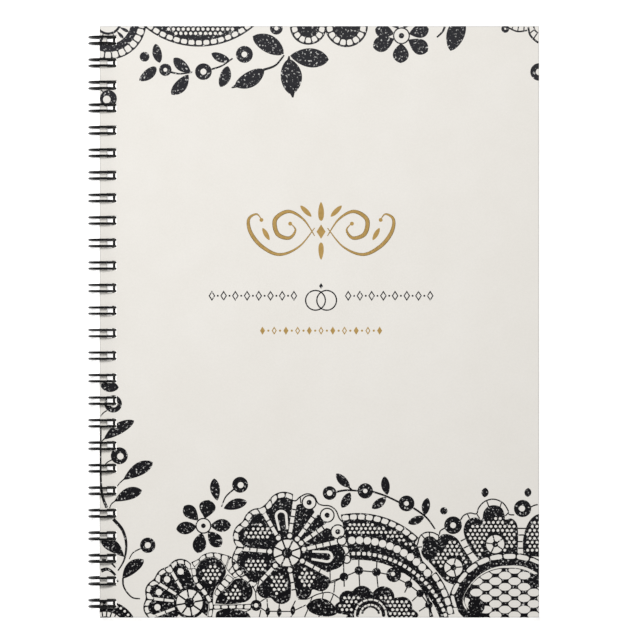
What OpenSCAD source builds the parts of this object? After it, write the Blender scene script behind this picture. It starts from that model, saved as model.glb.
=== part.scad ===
// Wire-bound wedding guest book, lying closed with its front cover up.
// Units are millimetres. X runs from the spine to the fore edge, Y along the spine towards
// the top of the page, Z up. The origin is under the middle of the whole book, and the
// wire loops rest on Z = 0.

/* [Sheets] */
// Width of the covers and leaves, from the spine edge to the fore edge
sheet_w = 165.1; // [120:0.1:220]
// Height of the covers and leaves, along the spine
sheet_h = 222.25; // [140:0.05:300]
// Thickness of the laminated cover card
cover_t = 0.4; // [0.25:0.05:0.6]
// Thickness of one paper leaf
leaf_t = 0.1; // [0.06:0.01:0.14]
// Number of paper leaves between the covers
leaf_count = 30; // [4:1:40]
// Air between one sheet and the next
sheet_gap = 0.02; // [0.01:0.01:0.05]

/* [Wire] */
// Diameter of the coated wire
wire_d = 0.9; // [0.7:0.05:1.2]
// Distance between loop centres along the spine, three to the inch
pitch = 8.4667; // [7:0.0001:12]
// Distance between the two wires of a loop, centre to centre
twin_w = 2.35; // [1.9:0.05:2.9]
// Bend radius where a loop turns into the link to the next loop
link_r = 0.8; // [0.65:0.05:1]
// Length of the cut stubs at the two ends of the wire
stub_l = 0.8; // [0.4:0.1:1.2]
// How far the loop centres stand inside the spine edge
loop_in = 0.95; // [0.7:0.05:1.2]
// Room inside the loops above the front cover
top_room = 2.65; // [2.2:0.05:3.5]
// Room inside the loops below the back cover
bottom_room = 0.7; // [0.5:0.05:1.5]

/* [Fits] */
// Clearance along the spine between a loop and the side of its hole
hole_side = 0.18; // [0.15:0.01:0.3]
// Clearance across the spine between a turning sheet's hole and the wire
hole_end = 0.13; // [0.12:0.01:0.3]
// Clearance between the links and the sheets above and below them
seam_gap = 0.12; // [0.1:0.01:0.3]
// Clearance between a loop's closed tip and the wire that it closes against
tip_gap = 0.1; // [0.08:0.01:0.2]
// Distance from the sheets' spine edges to the line that they turn about
spine_gap = 0.05; // [0.04:0.01:0.1]
// Least distance from the middle of the last hole to the end of the sheet
end_margin = 5; // [4:0.5:10]

/* [Hidden] */
$fn = 48;
leaf_pitch = leaf_t + sheet_gap;
wire_r = wire_d / 2;
bend_d = wire_d - 0.02;
join_l = 0.1;
twin_y = twin_w / 2;

// The seam is the space between the last leaf and the back cover that the links lie in.
seam_t = wire_d + 2 * seam_gap;
stack_t = cover_t + sheet_gap + leaf_count * leaf_pitch - sheet_gap + seam_t + cover_t;

// The loops are round, and their middle line has this radius.
loop_r = (stack_t + top_room + bottom_room + wire_d) / 2;
loop_z = loop_r + wire_r;
reach = loop_z - loop_in;
spine_x = reach - (sheet_w + reach) / 2;

// Heights of the sheets' lower faces, counted from the loop centres.
cover_z = loop_r - wire_r - top_room - cover_t;
last_z = cover_z - leaf_count * leaf_pitch;
seam_z = last_z - seam_t / 2;

// Loops along the spine.
loop_count = floor((sheet_h - 2 * end_margin) / pitch) + 1;
loops = [for (i = [0:loop_count - 1]) (i - (loop_count - 1) / 2) * pitch];

// Angles on a loop, from the fore edge side upwards: where its links and its tip stand.
link_a = asin(seam_z / loop_r);
foot_a = link_a - link_r / loop_r * 180 / PI;
tip_rise = sqrt(pow(twin_y + link_r + wire_d + tip_gap, 2) - pow(twin_y + link_r, 2)) - link_r;
tip_a = link_a + tip_rise / loop_r * 180 / PI;
link_x = loop_in + loop_r * cos(link_a);

// Where a circle of radius r around the loop centre crosses a face at height z of a sheet
// that has turned by a degrees, measured on that sheet from its spine edge.
function crossing(r, z, a) =
    (loop_in + spine_gap) * cos(a) - spine_gap
    + sqrt(pow(r, 2) - pow(z + (loop_in + spine_gap) * sin(a), 2));
faces = [cover_z + cover_t, last_z];
turns = [for (a = [0:5:180]) a];
hole_near = min([for (z = faces, a = turns) crossing(loop_r - wire_r, z, a)]) - hole_end;
hole_far = loop_in + loop_r + wire_r + hole_end;
hole_h = twin_w + wire_d + 2 * hole_side;

// The back cover leans up to meet the last leaf at the fore edge.
back_lean = atan((seam_t - sheet_gap) / (sheet_w - link_x));

function leaf_name(i) = str("leaf_", i < 10 ? "0" : "", i);
leaf_names = [for (i = [1:leaf_count]) leaf_name(i)];

card = "#F0EEE8";
paper = "#FBFAF5";
black = "#1B1B1D";

// Places its children with X from the spine edge and Z from the loop centres.
module at_spine() {
    translate([spine_x, 0, loop_z]) children();
}

// One punched sheet of thickness t, with its lower face at Z = 0.
module sheet(t) {
    linear_extrude(t)
        difference() {
            translate([0, -sheet_h / 2]) square([sheet_w, sheet_h]);
            for (y = loops)
                translate([hole_near, y - hole_h / 2]) square([hole_far - hole_near, hole_h]);
        }
}

module front_cover() {
    color(card) at_spine() translate([0, 0, cover_z]) sheet(cover_t);
}

// Leaves are counted from the front cover.
module leaf(i) {
    color(paper) at_spine() translate([0, 0, cover_z - i * leaf_pitch]) sheet(leaf_t);
}

module back_cover() {
    color(card)
        at_spine()
            translate([sheet_w, 0, last_z - sheet_gap])
                rotate([0, -back_lean, 0])
                    translate([-sheet_w, 0, -cover_t]) sheet(cover_t);
}

// Places its children on a loop's middle line at angle a: X points outwards from the loop's
// centre and Z along the wire.
module on_loop(a) {
    translate([loop_in, 0, 0]) rotate([0, -a, 0]) translate([loop_r, 0, 0]) children();
}

// The round part of one of a loop's two wires.
module hoop() {
    translate([loop_in, 0, 0])
        rotate([90, 0, 0])
            rotate([0, 0, tip_a])
                rotate_extrude(angle = 360 + foot_a - tip_a)
                    translate([loop_r, 0]) circle(d = wire_d);
}

// A tight bend of radius r through angle a, from -Y towards +Z, that runs on a little way
// inside the wires that it joins. The wire draws thinner where it is bent tightly.
module bend(r, a) {
    over_a = join_l / r * 180 / PI;
    rotate([0, -90, 0])
        rotate([0, 0, -90 - over_a])
            rotate_extrude(angle = a + 2 * over_a) translate([r, 0]) circle(d = bend_d);
}

// The closed tip that joins a loop's two wires.
module tip() {
    on_loop(tip_a) mirror([0, 0, 1]) bend(twin_y, 180);
}

// Places its children at the foot of a loop, where the wire turns towards +Y.
module at_foot() {
    on_loop(foot_a) translate([0, twin_y + link_r, 0]) children();
}

// The straight wire along the spine, of length l, that starts at a loop's foot.
module link(l) {
    at_foot() translate([0, 0, link_r]) rotate([-90, 0, 0]) cylinder(h = l, d = wire_d);
}

module loop() {
    for (side = [-1, 1]) translate([0, side * twin_y, 0]) hoop();
    tip();
    for (side = [0, 1]) mirror([0, side, 0]) at_foot() bend(link_r, 90);
}

// The whole binding is one wire: the loops, the links between them, and a stub at each end.
module binding_wire() {
    color(black)
        at_spine() {
            for (i = [0:loop_count - 1])
                translate([0, loops[i], 0]) {
                    loop();
                    link(i < loop_count - 1 ? pitch - 2 * (twin_y + link_r) : stub_l);
                }
            translate([0, loops[0], 0]) mirror([0, 1, 0]) link(stub_l);
        }
}

front_cover();
for (i = [1:leaf_count])
    leaf(i);
back_cover();
binding_wire();
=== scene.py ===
# %% [markdown]
# # A wire-bound wedding guest book
# A guest book of this kind is a stack of punched sheets that hang on one bent wire. The packed
# model fixes every size and place. This lesson lights it, gives each material its finish,
# rebuilds the wire as one smooth line, and prints the lace and the gold ornaments on the cover.

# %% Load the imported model
import math

import bpy
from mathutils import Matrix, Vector


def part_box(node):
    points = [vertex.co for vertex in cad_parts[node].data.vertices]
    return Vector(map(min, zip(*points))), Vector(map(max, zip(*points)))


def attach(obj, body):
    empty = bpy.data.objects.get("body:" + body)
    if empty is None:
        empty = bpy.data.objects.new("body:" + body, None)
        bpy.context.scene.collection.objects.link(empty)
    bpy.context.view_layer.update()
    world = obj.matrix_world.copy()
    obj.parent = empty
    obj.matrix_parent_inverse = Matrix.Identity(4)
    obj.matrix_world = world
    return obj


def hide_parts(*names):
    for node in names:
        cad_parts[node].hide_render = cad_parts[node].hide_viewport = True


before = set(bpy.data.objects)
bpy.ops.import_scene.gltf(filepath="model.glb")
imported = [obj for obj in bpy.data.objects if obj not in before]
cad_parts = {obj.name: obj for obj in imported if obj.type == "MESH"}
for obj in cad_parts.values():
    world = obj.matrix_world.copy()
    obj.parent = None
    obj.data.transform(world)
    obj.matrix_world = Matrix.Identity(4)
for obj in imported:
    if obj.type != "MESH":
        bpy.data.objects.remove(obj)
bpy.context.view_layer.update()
MM = 0.001  # every length below is in millimetres until it is drawn
cover_low, cover_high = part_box("front_cover")
PAGE_W = (cover_high.x - cover_low.x) / MM
PAGE_H = (cover_high.y - cover_low.y) / MM
COVER_TOP = cover_high.z
print("cover", round(PAGE_W, 2), "x", round(PAGE_H, 2), "mm, top at", round(COVER_TOP / MM, 3))

# %% [markdown]
# The camera is made first. A book cover is looked at from straight above, so that its corners
# stay square. A short lens close by would do too, but it would make the sides of the wire loops
# lean outwards, so a long lens far away is used.

# %% Camera
CAMERA_X, CAMERA_Y, CAMERA_RISE = 3.2 * MM, -0.07 * MM, 2.0
LENS, SENSOR, FAR_CLIP = 297.6, 36, 20
scene = bpy.context.scene
scene.view_settings.view_transform = "Standard"
bpy.ops.object.camera_add(location=(CAMERA_X, CAMERA_Y, CAMERA_RISE + COVER_TOP))
camera = bpy.context.object
camera.name = "camera"
camera.rotation_euler = (0, 0, 0)
camera.data.sensor_width = SENSOR
camera.data.lens = LENS
camera.data.clip_end = FAR_CLIP
scene.camera = camera
print("camera", tuple(round(x, 4) for x in camera.location))

# %% [markdown]
# A studio table for small printed goods is white. One plane is enough for it, because nothing
# of the room shows. Its paint comes at the end, after the helpers for paint.

# %% Floor
bpy.ops.mesh.primitive_plane_add(size=6, location=(0, 0, 0))
floor = bpy.context.object
floor.name = "floor"
print("floor", round(floor.dimensions.x, 1), "m wide")

# %% [markdown]
# The main lamp looks straight down from close to the camera's own line, so the wire's shadows
# fall almost under the wire. It hangs over the upper left corner and not far away, which makes
# the cover brighter at that corner. It is kept out of reflections, as a polarising filter does
# on a glossy cover. A weak lamp from the right and a white sky fill the rest.

# %% Lights
def soft_lamp(name, place, aim, size, watts):
    """Adds a square area lamp that points at a place on the table."""
    bpy.ops.object.light_add(type="AREA", location=place)
    lamp = bpy.context.object
    lamp.name = name
    lamp.data.size = size
    lamp.data.energy = watts
    lamp.rotation_euler = (Vector(aim) - Vector(place)).to_track_quat("-Z", "Y").to_euler()
    return lamp


main_lamp = soft_lamp("lamp_upper_left", (-0.12, 0.17, 0.78), (-0.12, 0.171, 0), 0.26, 5.1)
main_lamp.visible_glossy = False
fill_lamp = soft_lamp("lamp_right", (1.1, -0.2, 1.2), (0, 0, 0), 1.0, 1.2)
world = bpy.data.worlds.new("studio")
scene.world = world
world.use_nodes = True
sky = world.node_tree.nodes["Background"].inputs
sky["Color"].default_value = (1, 1, 1, 1)
sky["Strength"].default_value = 0.25
print("lamps", round(main_lamp.data.energy, 1), "and", round(fill_lamp.data.energy, 1), "watts")

# %% [markdown]
# Every finish is a small tree of nodes. It could be clicked together by hand, but five trees
# share most of their steps, so helpers save writing. A number that is the same all over the
# surface is set on the shader itself, and a pattern is linked to it.

# %% Starting a finish
def new_finish(name, **values):
    """Returns a new material and its nodes, with plain values set on the shader."""
    finish = bpy.data.materials.new(name)
    finish.use_nodes = True
    shader = finish.node_tree.nodes["Principled BSDF"]
    for key, value in values.items():
        shader.inputs[key.replace("_", " ")].default_value = value
    print("finish", name, "with", len(values), "plain values")
    return finish, finish.node_tree


def link(tree, out_socket, in_socket):
    tree.links.new(out_socket, in_socket)


def paint(tree, label, source):
    """Feeds a pattern to one input of the shader."""
    link(tree, source, tree.nodes["Principled BSDF"].inputs[label])


def add(tree, kind, **values):
    """Adds a node; a value whose name is an input goes there, any other is a property."""
    node = tree.nodes.new(kind)
    for key, value in values.items():
        label = key.replace("_", " ")
        if label in node.inputs:
            node.inputs[label].default_value = value
        else:
            setattr(node, key, value)
    return node


print("materials so far", len(bpy.data.materials))

# %% [markdown]
# All patterns read Object coordinates, which are metres here, so a noise scale of 2000 gives
# spots of about half a millimetre. A ramp turns the noise into colours or roughness, and a
# bump turns it into small hills.

# %% Patterns
def noise(tree, scale, detail=2.0, roughness=0.5):
    """Noise on Object coordinates, with the scale in turns per metre."""
    place = add(tree, "ShaderNodeTexCoord")
    grain = add(tree, "ShaderNodeTexNoise", Scale=scale, Detail=detail, Roughness=roughness)
    link(tree, place.outputs["Object"], grain.inputs["Vector"])
    return grain.outputs["Fac"]


def ramp(tree, source, low, high, colour_low, colour_high):
    """Turns a value from low to high into a colour between the two given."""
    node = add(tree, "ShaderNodeValToRGB")
    node.color_ramp.elements[0].position = low
    node.color_ramp.elements[0].color = (*colour_low, 1)
    node.color_ramp.elements[1].position = high
    node.color_ramp.elements[1].color = (*colour_high, 1)
    link(tree, source, node.inputs["Fac"])
    return node.outputs["Color"]


def mix(tree, mask, colour_a, colour_b, kind="MIX"):
    """Mixes two colours, which may be sockets or plain triples."""
    node = add(tree, "ShaderNodeMix", data_type="RGBA", blend_type=kind)
    for socket, value in ((node.inputs[6], colour_a), (node.inputs[7], colour_b)):
        if isinstance(value, tuple):
            socket.default_value = (*value, 1)
        else:
            link(tree, value, socket)
    if isinstance(mask, float):
        node.inputs[0].default_value = mask
    else:
        link(tree, mask, node.inputs[0])
    return node.outputs[2]


def bump(tree, source, depth, strength):
    """Makes the surface look uneven, with hills of a depth in metres."""
    node = add(tree, "ShaderNodeBump", Distance=depth, Strength=strength)
    link(tree, source, node.inputs["Height"])
    paint(tree, "Normal", node.outputs["Normal"])


def place_along(tree, axis):
    """The Object coordinate along one axis."""
    split = add(tree, "ShaderNodeSeparateXYZ")
    link(tree, add(tree, "ShaderNodeTexCoord").outputs["Object"], split.inputs["Vector"])
    return split.outputs[axis]


def fade(tree, source, start, end, first=0.0, last=1.0):
    """Turns a value that goes from start to end into one that goes from first to last."""
    node = add(tree, "ShaderNodeMapRange", From_Min=start, From_Max=end, To_Min=first,
               To_Max=last)
    link(tree, source, node.inputs["Value"])
    return node.outputs["Result"]


print("a noise scale of 2000 gives spots of", 1 / 2000 / MM, "mm")

# %% [markdown]
# The cover is ivory card under a clear satin film. Card is never quite even: the print has
# a faint mottle, and the film shows fine ripples when light grazes it. Along the trimmed edges
# the film catches less light, and that shade is painted as a hair-thin grey line. The painted
# line could be a strip of its own, but a mask by the distance from the edge needs no extra mesh.

# %% Laminated card
EDGE_SHADE_WIDTH = 0.45 * MM


def maths(tree, operation, *values):
    """A maths node; each value is a socket or a number."""
    node = add(tree, "ShaderNodeMath", operation=operation)
    for socket, value in zip(node.inputs, values):
        if isinstance(value, float):
            socket.default_value = value
        else:
            link(tree, value, socket)
    return node.outputs[0]


def painted_edge_shade_mask(tree):
    """A mask of painted edge shade: 1 at the card's four edges, fading to 0 within the grey line.
    """
    gaps = []
    for axis, low, high in (("X", cover_low.x, cover_high.x), ("Y", cover_low.y, cover_high.y)):
        off = maths(tree, "SUBTRACT", place_along(tree, axis), (low + high) / 2)
        gaps.append(maths(tree, "SUBTRACT", (high - low) / 2, maths(tree, "ABSOLUTE", off)))
    return fade(tree, maths(tree, "MINIMUM", *gaps), 0.0, EDGE_SHADE_WIDTH, 1.0, 0.0)


card_finish, tree = new_finish("laminated_card", Coat_Weight=0.25, Coat_Roughness=0.22)
mottle = ramp(tree, noise(tree, 60, 4), 0.35, 0.7, (0.842, 0.812, 0.758), (0.862, 0.834, 0.784))
fibre = ramp(tree, noise(tree, 1500, 3, 0.7), 0.3, 0.7, (0.965,) * 3, (1, 1, 1))
ivory = mix(tree, 1.0, mottle, fibre, "MULTIPLY")
# painted shade: a grey line along the trimmed edges, where the film catches less light
paint(tree, "Base Color", mix(tree, painted_edge_shade_mask(tree), ivory, (0.50, 0.50, 0.49)))
paint(tree, "Roughness", ramp(tree, noise(tree, 300, 3), 0.3, 0.7, (0.40,) * 3, (0.50,) * 3))
bump(tree, noise(tree, 900, 4, 0.6), 0.02 * MM, 0.35)

# %% [markdown]
# The leaves are plain white writing paper, matt, with a soft cloud of fibres. Real fibres are
# too many to model, so a noise with much detail stands for them, in the colour and the bump.

# %% Writing paper
paper_finish, tree = new_finish("writing_paper", Roughness=0.85, Sheen_Weight=0.08)
paint(tree, "Base Color", ramp(tree, noise(tree, 220, 5, 0.65), 0.3, 0.7, (0.86, 0.855, 0.83),
                               (0.93, 0.927, 0.91)))
bump(tree, noise(tree, 2600, 4, 0.7), 0.015 * MM, 0.5)

# %% [markdown]
# The binding wire is steel with a black nylon coat: deep black, smooth, with a very slight
# ripple from the coating bath and a few dull spots where it rubs. The steel never shows, so
# the shader isn't metallic; a thin clear coat over black gives the plastic's highlight.

# %% Coated wire
wire_finish, tree = new_finish("coated_wire", Specular_IOR_Level=0.22, Coat_Weight=0.12,
                               Coat_Roughness=0.2)
paint(tree, "Base Color", ramp(tree, noise(tree, 700, 3), 0.35, 0.75, (0.003,) * 3,
                               (0.007, 0.007, 0.008)))
paint(tree, "Roughness", ramp(tree, noise(tree, 450, 4, 0.6), 0.35, 0.7, (0.34,) * 3, (0.5,) * 3))
bump(tree, noise(tree, 1300, 3), 0.02 * MM, 0.3)

# %% [markdown]
# The lace is printed to look hand-blocked: a near-black ink with pale flecks where it did not
# take. The ink is painted greyer towards the top of the cover. This is a painted sheen, for the
# lamp's reflection on the film that lifts the black there. Flecks could be cut into the mesh, at
# the price of many thousand faces. One noise, cut off high, gives flecks of about half a
# millimetre with ragged outlines instead.

# %% Lace ink
PAGE_FOOT, PAGE_HEAD = -0.111, 0.111
ink_finish, tree = new_finish("lace_ink", Roughness=0.6, Specular_IOR_Level=0.12)
# painted sheen: the ink is painted greyer towards the head of the cover, where the lamp's
# reflection lifts the black
ink_with_painted_sheen = mix(tree, fade(tree, place_along(tree, "Y"), PAGE_FOOT, PAGE_HEAD),
            (0.0050, 0.0048, 0.0060), (0.030, 0.030, 0.034))
fleck = ramp(tree, noise(tree, 1150, 2.5, 0.7), 0.60, 0.655, (0, 0, 0), (1, 1, 1))
paint(tree, "Base Color", mix(tree, fleck, ink_with_painted_sheen, (0.62, 0.61, 0.59)))
bump(tree, noise(tree, 1500, 3), 0.01 * MM, 0.3)

# %% [markdown]
# The ornaments in the middle are printed in flat antique gold, not foil. A fully metallic
# shader would mirror the lamps, so this is a warm ochre with hardly any metal in it and a very
# fine grain.

# %% Gold ink
gold_finish, tree = new_finish("gold_ink", Roughness=0.42, Metallic=0.15)
paint(tree, "Base Color", ramp(tree, noise(tree, 900, 3), 0.3, 0.7, (0.46, 0.29, 0.085),
                               (0.56, 0.36, 0.12)))
bump(tree, noise(tree, 1800, 3), 0.008 * MM, 0.3)

# %% [markdown]
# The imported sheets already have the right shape, so they stay and only get their finish. They
# could be modelled again, but flat punched sheets would gain nothing. The slots of a packed
# node are filled in place.

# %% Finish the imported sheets
def dress(node, finish):
    """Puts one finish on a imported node, whatever slots it came with."""
    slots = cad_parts[node].data.materials
    slots.clear()
    slots.append(finish)


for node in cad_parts:
    if node != "binding_wire":
        dress(node, card_finish if node.endswith("cover") else paper_finish)
dress("binding_wire", wire_finish)
print("dressed", len(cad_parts), "packed nodes")

# %% [markdown]
# ## The wire
# A twin-loop binding is one wire. It runs along the spine, turns up into a loop, comes back
# beside itself, and goes on to the next loop. Rings in a row would look alike from above, but
# they would miss the closed tips and the links. So the path is bent as a machine bends it, one
# loop at a time, and the loops are chained.

# %% Wire path
WIRE_D, TWIN_Y, LINK_R, STUB = 0.9, 1.175, 0.8, 0.8  # TWIN_Y is half the strands' distance
LOOP_R, LOOP_X, LOOP_Z = 4.895, 0.95, 5.345
TIP_A, FOOT_A = -17.85, -43.9  # where a loop's tip and foot lie, in degrees
PITCH, LOOPS = 25.4 / 3, 26
LINK_STEPS, LOOP_STEPS, TIP_STEPS = 6, 56, 12
SPINE_X = cover_low.x / MM


def round_loop(angle, y, along=0.0):
    """A point of a loop at an angle, moved sideways by y and on along the wire."""
    a = math.radians(angle)
    x = SPINE_X + LOOP_X + LOOP_R * math.cos(a) - along * math.sin(a)
    return x, y, LOOP_Z + LOOP_R * math.sin(a) + along * math.cos(a)


def one_loop(middle):
    """The wire of one loop, from the link below it to the link above it."""
    up = []
    for k in range(LINK_STEPS + 1):
        turn = math.radians(90 - 90 / LINK_STEPS * k)
        up.append(round_loop(FOOT_A, middle - TWIN_Y - LINK_R * (1 - math.cos(turn)),
                             LINK_R * math.sin(turn)))
    sweep = 360 + FOOT_A - TIP_A
    up += [round_loop(FOOT_A + 360 - sweep * k / LOOP_STEPS, middle - TWIN_Y)
           for k in range(1, LOOP_STEPS + 1)]
    tip = []
    for k in range(1, TIP_STEPS):
        turn = math.pi * k / TIP_STEPS
        tip.append(round_loop(TIP_A, middle - TWIN_Y * math.cos(turn), -TWIN_Y * math.sin(turn)))
    down = [(x, 2 * middle - y, z) for x, y, z in reversed(up)]
    return up + tip + down


def length_of(points):
    return sum(math.dist(a, b) for a, b in zip(points, points[1:]))


middles = [(i - (LOOPS - 1) / 2) * PITCH for i in range(LOOPS)]
path = [p for y in middles for p in one_loop(y)]
(x0, y0, z0), (x1, y1, z1) = path[0], path[-1]
path = [(x0, y0 - STUB, z0), *path, (x1, y1 + STUB, z1)]
print("wire length", round(length_of(path)), "mm")

# %% [markdown]
# Giving a line a round section is a curve's own work: its bevel makes the tube and its caps
# close the two ends. The tube is turned into a mesh at the end, so that it takes its finish
# and its place like any other piece.

# %% Wire
def nothing_selected():
    """Leaves edit mode and deselects everything, before anything new is added."""
    if bpy.context.object and bpy.context.object.mode != "OBJECT":
        bpy.ops.object.mode_set(mode="OBJECT")
    bpy.ops.object.select_all(action="DESELECT")


def select_only(*things):
    nothing_selected()
    for thing in things:
        thing.select_set(True)
    bpy.context.view_layer.objects.active = things[0]


def new_line(name, flat=False):
    """An empty curve object at the origin, ready to take lines."""
    nothing_selected()
    bpy.ops.object.add(type="CURVE", location=(0, 0, 0))
    line = bpy.context.object
    line.name = name
    line.data.dimensions = "2D" if flat else "3D"
    return line


def add_line(curve, points, widths=None, closed=False):
    """Adds one line through points in millimetres, with an optional half width at each."""
    spline = curve.data.splines.new("POLY")
    spline.points.add(len(points) - 1)
    for k, p in enumerate(points):
        x, y, z = p if len(p) == 3 else (p[0], p[1], 0.0)
        spline.points[k].co = (x * MM, y * MM, z * MM, 1)
        if widths:
            spline.points[k].radius = widths[k]
    spline.use_cyclic_u = closed


wire = new_line("twin_loop_wire")
add_line(wire, path)
wire.data.bevel_depth = WIRE_D / 2 * MM
wire.data.bevel_resolution = 4
wire.data.use_fill_caps = True
select_only(wire)
bpy.ops.object.convert(target="MESH")
wire = bpy.context.object
bpy.ops.object.shade_smooth_by_angle(angle=math.radians(50))
wire.data.materials.append(wire_finish)
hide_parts("binding_wire")
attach(wire, "back_and_wire")
print("wire", len(wire.data.polygons), "faces")

# %% [markdown]
# ## Drawing on the cover
# The print is drawn in page millimetres: u from the spine edge, v from the bottom edge. Two
# kinds of mark are enough. A blot is a filled outline, which may have holes. A thread is a
# line with a width. Both are collected in a list, and a piece is made from the list at the end.

# %% Lines
blots, threads = [], []
PUNCH_NEAR, PUNCH_FAR, PUNCH_H = 2.68, 6.425, 3.61
punches = [y + PAGE_H / 2 for y in middles]


def polar(centre, radius, angle):
    """The point at a distance and an angle in degrees from a centre."""
    a = math.radians(angle)
    return centre[0] + radius * math.cos(a), centre[1] + radius * math.sin(a)


def arc(centre, radius, start, end, step=4.0):
    """Points on an arc, from one angle to another in degrees."""
    n = max(2, int(abs(end - start) / step))
    return [polar(centre, radius, start + (end - start) * k / n) for k in range(n + 1)]


def circle(centre, radius, sides=None):
    """Points on a circle; a bigger one gets more sides unless their number is given."""
    n = sides or max(10, min(48, int(8 + radius * 5)))
    return [(centre[0] + radius * math.cos(2 * math.pi * k / n),
             centre[1] + radius * math.sin(2 * math.pi * k / n)) for k in range(n)]


def smooth(points, per=6):
    """A smooth line through the points, by Catmull and Rom's rule."""
    out = []
    ends = [points[0], *points, points[-1]]
    for a, b, c, d in zip(ends, ends[1:], ends[2:], ends[3:]):
        for k in range(per):
            t = k / per
            out.append(tuple(0.5 *
                             (2 * b[i] + (c[i] - a[i]) * t +
                              (2 * a[i] - 5 * b[i] + 4 * c[i] - d[i]) * t * t +
                              (3 * b[i] - a[i] - 3 * c[i] + d[i]) * t ** 3) for i in (0, 1)))
    return [*out, points[-1]]


print(len(punches), "punched holes; a big circle has", len(circle((0, 0), 8)), "sides")

# %% [markdown]
# Every mark of the print is one of a few: an even or tapering line, a dot, a hoop, a berry, or
# a pointed leaf. Drawing each by hand would be slow and uneven, so each has a helper that takes
# only its place and its size.

# %% Marks
def thread(points, width, end_width=None, swell=None):
    """A line of one width, or one that narrows to its end, or swells in its middle."""
    n = len(points) - 1
    last_width = width if end_width is None else end_width
    widths = []
    for k in range(n + 1):
        t = k / n
        w = width + (last_width - width) * t
        if swell:
            w += (swell - w) * math.sin(math.pi * t) ** 1.5
        widths.append(w / 2)
    threads.append((points, widths))


def curl(points, width, end_width=None, swell=None):
    """A thread that is smooth through its points."""
    thread(smooth(points), width, end_width, swell)


def hoop(centre, radius, sides):
    """A closed round thread."""
    line = circle(centre, radius, sides)
    thread(line + line[:1], 0.5)


def blot(outline, holes=()):
    """A filled outline with holes."""
    blots.append([outline, *holes])


def dot(centre, radius):
    blot(circle(centre, radius))


def ring(centre, radius, hole, off=(0.0, 0.0)):
    """A berry: a round blot with a small round hole a little off its centre."""
    blot(circle(centre, radius), [circle((centre[0] + off[0], centre[1] + off[1]), hole)])


def leaf(base, tip, width, belly=0.5, bend=0.0):
    """A pointed leaf from base to tip; belly says where it is widest, bend how it curves."""
    du, dv = tip[0] - base[0], tip[1] - base[1]
    power = math.log(0.5) / math.log(belly)
    left, right = [], []
    for k in range(19):
        t = k / 18
        half = width / 2 * max(0.0, 4 * t ** power * (1 - t ** power)) ** 0.72
        off = bend * math.sin(math.pi * t)
        size = math.hypot(du, dv)
        nu, nv = -dv / size, du / size
        mid = (base[0] + du * t + nu * off, base[1] + dv * t + nv * off)
        left.append((mid[0] + nu * half, mid[1] + nv * half))
        right.append((mid[0] - nu * half, mid[1] - nv * half))
    blot(left + right[-2:0:-1])


leaf((0, 0), (0, 9), 4)
print("a leaf's outline has", len(blots.pop()[0]), "points")

# %% [markdown]
# Turning marks into a piece: the print ends at the page's edge and at the punched holes. A
# boolean could cut it, but it is slow and easily fails on thin shapes. Threads are therefore
# cut as lines, before they are drawn, because a line is easier to cut than a tube.

# %% Cutting threads
FINE = 0.25  # step of a thread that comes near an edge


def on_card(point, margin):
    """True where there is card: inside the page and not in a punched hole."""
    u, v = point
    if not (margin <= u <= PAGE_W - margin and margin <= v <= PAGE_H - margin):
        return False
    if PUNCH_NEAR - margin < u < PUNCH_FAR + margin:
        return all(abs(v - p) > PUNCH_H / 2 + margin for p in punches)
    return True


def cut_line(points, widths):
    """The parts of a line that lie on the card."""
    fine_p, fine_w = [points[0]], [widths[0]]
    for a, b, wa, wb in zip(points, points[1:], widths, widths[1:]):
        safe = on_card(a, 0.3) and on_card(b, 0.3)
        n = 1 if safe else max(1, int(math.dist(a, b) / FINE))
        for k in range(1, n + 1):
            t = k / n
            fine_p.append((a[0] + (b[0] - a[0]) * t, a[1] + (b[1] - a[1]) * t))
            fine_w.append(wa + (wb - wa) * t)
    parts, now = [], ([], [])
    for p, w in zip(fine_p, fine_w):
        if on_card(p, 0.1):
            now[0].append(p)
            now[1].append(w)
        else:
            parts.append(now)
            now = ([], [])
    return [part for part in [*parts, now] if len(part[0]) > 1]


test_line = [(-9, punches[0]), (99, punches[0])]
print("a line across a punched hole is cut to", len(cut_line(test_line, [1, 1])), "parts")

# %% [markdown]
# A flat mesh is cut with bisect, as with a knife and a ruler: once along each page edge that it
# crosses, and along the four sides of every punched hole. Then the faces in the holes go.

# %% Cutting a flat mesh
def cut_mesh(place, normal, drop):
    """Cuts the mesh that is being edited by a plane, and may drop what is beyond it."""
    bpy.ops.mesh.select_all(action="SELECT")
    bpy.ops.mesh.bisect(plane_co=place, plane_no=normal, clear_outer=drop, threshold=1e-8)


def cut_at_edges(low, high):
    """Drops what lies past the page's four edges."""
    for crosses, place, normal in (
            (low[0] < 0, (0, 0, 0), (-1, 0, 0)),
            (high[0] > PAGE_W, (PAGE_W * MM, 0, 0), (1, 0, 0)),
            (low[1] < 0, (0, 0, 0), (0, -1, 0)),
            (high[1] > PAGE_H, (0, PAGE_H * MM, 0), (0, 1, 0))):
        if crosses:
            cut_mesh(place, normal, True)


def cut_at_holes(piece, low_v, high_v):
    """Cuts along the sides of the punched holes and drops what lies in them."""
    cut_mesh((PUNCH_NEAR * MM, 0, 0), (1, 0, 0), False)
    cut_mesh((PUNCH_FAR * MM, 0, 0), (1, 0, 0), False)
    for v in [p + half for p in punches for half in (-PUNCH_H / 2, PUNCH_H / 2)]:
        if low_v < v < high_v:
            cut_mesh((0, v * MM, 0), (0, 1, 0), False)
    bpy.ops.mesh.select_all(action="DESELECT")
    bpy.ops.object.mode_set(mode="OBJECT")
    for face in piece.data.polygons:
        u, v = face.center.x / MM, face.center.y / MM
        face.select = PUNCH_NEAR < u < PUNCH_FAR and any(
            abs(v - p) < PUNCH_H / 2 for p in punches)
    bpy.ops.object.mode_set(mode="EDIT")
    bpy.ops.mesh.delete(type="FACE")


print("holes from", PUNCH_NEAR, "to", PUNCH_FAR, "mm from the spine edge")

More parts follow.
